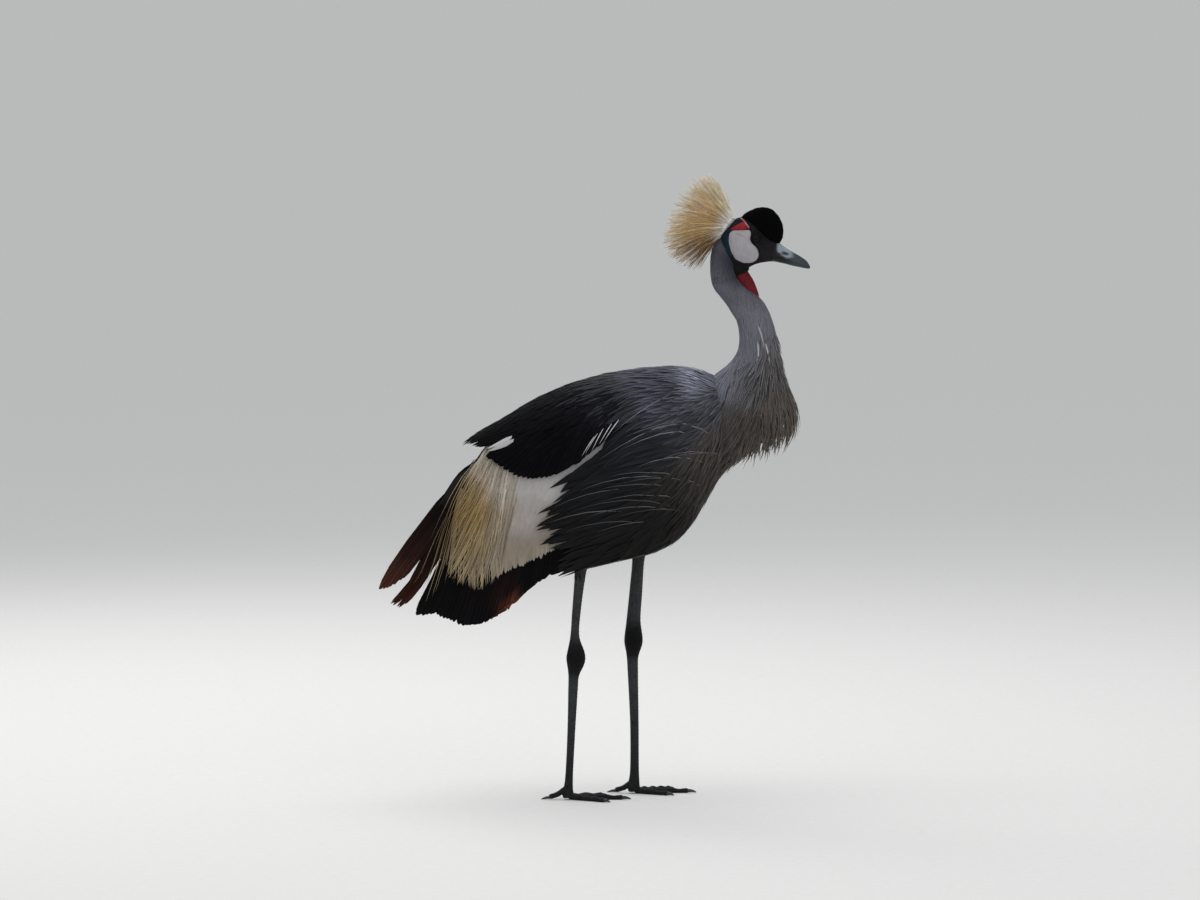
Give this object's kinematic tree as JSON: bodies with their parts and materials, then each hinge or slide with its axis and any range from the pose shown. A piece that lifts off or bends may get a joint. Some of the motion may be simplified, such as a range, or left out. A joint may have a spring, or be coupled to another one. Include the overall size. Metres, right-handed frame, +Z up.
{
  "type": "grey crowned crane",
  "caption": "Life-size standing grey crowned crane with a straw-gold fan crest, grey neck, white and gold wing patch and long dark legs; a still museum-style figure.",
  "frame": {"origin": "on the floor under the middle of the bird's bounding box", "axes": "+X forward, the way the bird faces, +Y to its left, +Z up"},
  "size_m": [0.6916, 0.2436, 0.9868],
  "materials": {
    "face_skin": "short black down over bare skin, matt",
    "horn": "grey-black horn with a dull sheen",
    "velvet_feathers": "dense black velvet pile, very matt",
    "crest_bristles": "stiff straw-gold bristle feathers",
    "red_skin": "bare wrinkled red skin, satin",
    "white_skin": "bare white skin with faint pink creases",
    "grey_feathers": "soft grey feathers, matt with a light sheen",
    "slate_feathers": "long narrow slate-grey plumes, matt",
    "black_feathers": "smooth black feathers with a slight gloss",
    "white_feathers": "white and gold covert feathers over black quills",
    "eye": "wet dark eye, glossy",
    "leg_scales": "blackish horny leg scales, low sheen"
  },
  "bodies": {
    "root": {"head": "face_skin", "bill_upper": "horn", "bill_lower": "horn", "cap": "velvet_feathers", "crest": "crest_bristles", "wattle": "red_skin", "neck_upper": "grey_feathers", "neck_lower": "grey_feathers", "tail": "black_feathers", "torso": "slate_feathers", "breast": "grey_feathers", "eye_right": "eye", "eye_left": "eye", "cheek_right": "white_skin", "cheek_left": "white_skin", "wing_right": "white_feathers", "wing_left": "white_feathers", "scapulars_right": "black_feathers", "scapulars_left": "black_feathers", "thigh_right": "slate_feathers", "thigh_left": "slate_feathers", "shank_right": "leg_scales", "shank_left": "leg_scales", "tarsus_right": "leg_scales", "tarsus_left": "leg_scales", "toe_middle_right": "leg_scales", "claw_middle_right": "horn", "toe_inner_right": "leg_scales", "claw_inner_right": "horn", "toe_outer_right": "leg_scales", "claw_outer_right": "horn", "toe_hind_right": "leg_scales", "claw_hind_right": "horn", "toe_middle_left": "leg_scales", "claw_middle_left": "horn", "toe_inner_left": "leg_scales", "claw_inner_left": "horn", "toe_outer_left": "leg_scales", "claw_outer_left": "horn", "toe_hind_left": "leg_scales", "claw_hind_left": "horn"}
  },
  "joints": []
}
